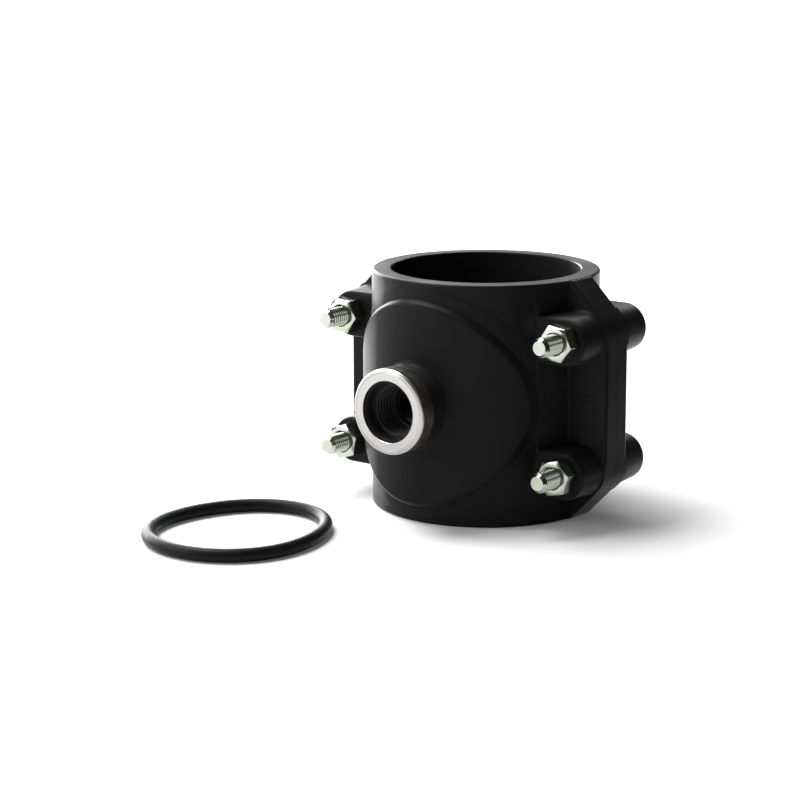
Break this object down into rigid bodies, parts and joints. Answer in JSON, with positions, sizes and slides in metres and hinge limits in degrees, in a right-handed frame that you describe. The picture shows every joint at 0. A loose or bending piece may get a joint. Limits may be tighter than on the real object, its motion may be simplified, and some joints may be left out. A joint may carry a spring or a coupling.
{
  "type": "tapping saddle",
  "caption": "Two-part plastic clamp saddle for a pipe, with a steel-ringed threaded branch outlet, bolts, nuts and a loose O-ring.",
  "frame": {"origin": "where the branch axis crosses the pipe axis, halfway up the shell", "axes": "+Z along the pipe, -Y out of the branch outlet, X in the parting plane towards the ears"},
  "size_m": [0.1391, 0.1853, 0.0944],
  "materials": {
    "black_polypropylene": "moulded, satin",
    "black_rubber": "moulded rubber with a slight sheen",
    "stainless_steel": "turned",
    "zinc_plated_steel": "bright zinc plating"
  },
  "bodies": {
    "saddle": {"saddle_body": "black_polypropylene", "reinforcing_ring": "stainless_steel", "o_ring": "black_rubber"},
    "rear_clamp": {"clamp_half": "black_polypropylene", "bolt_upper_left": "zinc_plated_steel", "bolt_upper_right": "zinc_plated_steel", "bolt_lower_left": "zinc_plated_steel", "bolt_lower_right": "zinc_plated_steel"},
    "upper_left_nut": {"nut_upper_left": "zinc_plated_steel"},
    "upper_right_nut": {"nut_upper_right": "zinc_plated_steel"},
    "lower_left_nut": {"nut_lower_left": "zinc_plated_steel"},
    "lower_right_nut": {"nut_lower_right": "zinc_plated_steel"}
  },
  "joints": [
    {"name": "clamp_opening", "type": "slide", "parent": "saddle", "child": "rear_clamp", "axis": [0, 1, 0], "range_m": [0, 0.0083]},
    {"name": "upper_left_nut_turn", "type": "hinge", "parent": "saddle", "child": "upper_left_nut", "pos_m": [-0.05108, -0.02495, 0.02625], "axis": [0, -1, 0], "range_deg": [0, 2400]},
    {"name": "upper_right_nut_turn", "type": "hinge", "parent": "saddle", "child": "upper_right_nut", "pos_m": [0.05143, -0.02495, 0.02655], "axis": [0, -1, 0], "range_deg": [0, 2400]},
    {"name": "lower_left_nut_turn", "type": "hinge", "parent": "saddle", "child": "lower_left_nut", "pos_m": [-0.05093, -0.02495, -0.0255], "axis": [0, -1, 0], "range_deg": [0, 2400]},
    {"name": "lower_right_nut_turn", "type": "hinge", "parent": "saddle", "child": "lower_right_nut", "pos_m": [0.05103, -0.02495, -0.02545], "axis": [0, -1, 0], "range_deg": [0, 2400]}
  ],
  "couplings": [
    {"joint": "upper_left_nut_turn", "follows": "clamp_opening", "rad_per_m": 5026.5},
    {"joint": "upper_right_nut_turn", "follows": "clamp_opening", "rad_per_m": 5026.5},
    {"joint": "lower_left_nut_turn", "follows": "clamp_opening", "rad_per_m": 5026.5},
    {"joint": "lower_right_nut_turn", "follows": "clamp_opening", "rad_per_m": 5026.5}
  ]
}
